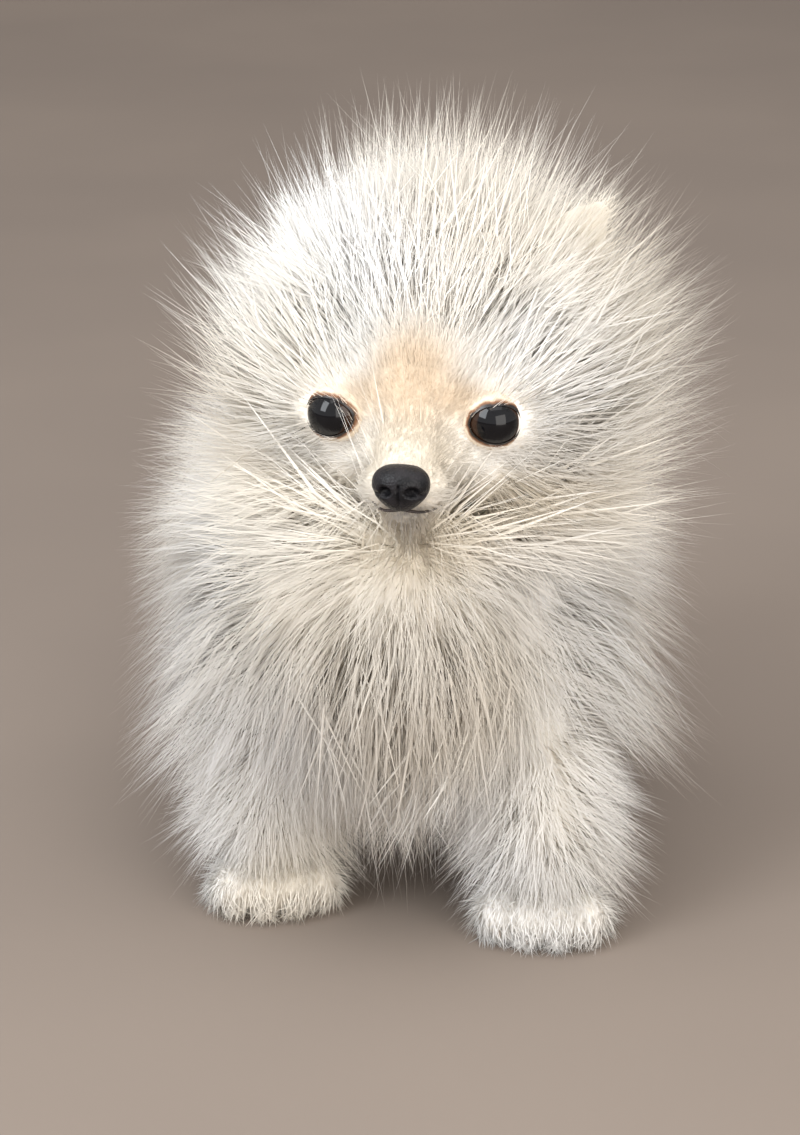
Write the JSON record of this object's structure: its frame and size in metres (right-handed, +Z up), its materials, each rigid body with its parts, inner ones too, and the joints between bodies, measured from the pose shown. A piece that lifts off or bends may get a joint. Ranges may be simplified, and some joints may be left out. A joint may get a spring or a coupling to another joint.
{
  "type": "pomeranian puppy model",
  "caption": "Life-size still model of a young cream-white Pomeranian, standing, with a dense fluffy coat, small ears, dark round eyes and a black nose",
  "frame": {"origin": "on the floor, under the middle of the whole animal's box", "axes": "+Z up, -Y the way the puppy faces, +X its own left side"},
  "size_m": [0.1564, 0.1874, 0.2127],
  "materials": {
    "coat": "matte",
    "eye": "gloss",
    "nose": "satin"
  },
  "bodies": {
    "root": {"head": "coat", "neck": "coat", "torso": "coat", "tail": "coat", "foreleg_left": "coat", "foreleg_right": "coat", "hindleg_left": "coat", "hindleg_right": "coat", "ear_left": "coat", "ear_right": "coat", "eye_left": "eye", "eye_right": "eye", "nose": "nose"}
  },
  "joints": []
}
